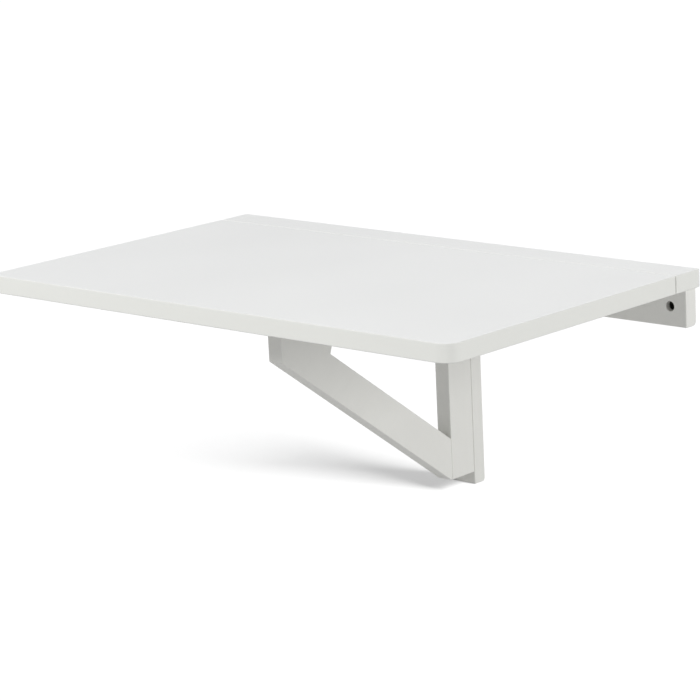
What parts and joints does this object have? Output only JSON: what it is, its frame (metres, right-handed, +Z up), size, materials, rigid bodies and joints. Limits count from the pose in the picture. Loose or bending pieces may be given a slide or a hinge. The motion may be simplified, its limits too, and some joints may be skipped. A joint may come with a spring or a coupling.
{
  "type": "wall-mounted drop-leaf table",
  "caption": "Small white wall table: a fixed strip and rail on the wall, a hinged drop leaf with rounded front corners, and a triangular bracket that swings out to hold the leaf up.",
  "frame": {"origin": "in the wall plane, midway between the rail's two wall holes", "axes": "+X along the table's length, +Y into the wall, +Z up"},
  "size_m": [0.6, 0.37, 0.252],
  "materials": {
    "top_paint": "white satin lacquer on fibreboard",
    "frame_paint": "white satin paint on wood",
    "dowel_beech": "bare beech",
    "hinge_steel": "zinc-plated pressed steel",
    "pin_steel": "drawn steel",
    "screw_steel": "zinc-plated steel"
  },
  "bodies": {
    "wall_frame": {"wall_rail": "frame_paint", "wall_upright": "frame_paint", "fixed_top_strip": "top_paint", "strip_dowels": "dowel_beech", "upright_dowels": "dowel_beech", "leaf_hinge_fixed_plate_left": "hinge_steel", "leaf_hinge_fixed_plate_right": "hinge_steel", "leaf_hinge_pin_left": "pin_steel", "leaf_hinge_pin_right": "pin_steel", "leaf_hinge_fixed_screws": "screw_steel", "bracket_hinge_fixed_plate_upper": "hinge_steel", "bracket_hinge_fixed_plate_lower": "hinge_steel", "bracket_hinge_pin_upper": "pin_steel", "bracket_hinge_pin_lower": "pin_steel", "bracket_hinge_fixed_screws": "screw_steel"},
    "leaf": {"drop_leaf": "top_paint", "leaf_hinge_moving_plate_left": "hinge_steel", "leaf_hinge_moving_plate_right": "hinge_steel", "leaf_hinge_moving_screws": "screw_steel"},
    "bracket": {"bracket_post": "frame_paint", "bracket_arm": "frame_paint", "bracket_brace": "frame_paint", "arm_dowels": "dowel_beech", "brace_dowels": "dowel_beech", "head_dowels": "dowel_beech", "bracket_hinge_moving_plate_upper": "hinge_steel", "bracket_hinge_moving_plate_lower": "hinge_steel", "bracket_hinge_moving_screws": "screw_steel"}
  },
  "joints": [
    {"name": "leaf_hinge", "type": "hinge", "parent": "wall_frame", "child": "leaf", "pos_m": [0, -0.0385, 0.016], "axis": [1, 0, 0], "range_deg": [-2.5, 0]},
    {"name": "bracket_swing", "type": "hinge", "parent": "wall_frame", "child": "bracket", "pos_m": [0.0045, -0.0185, -0.1095], "axis": [0, 0, 1], "range_deg": [-90, 0]}
  ]
}
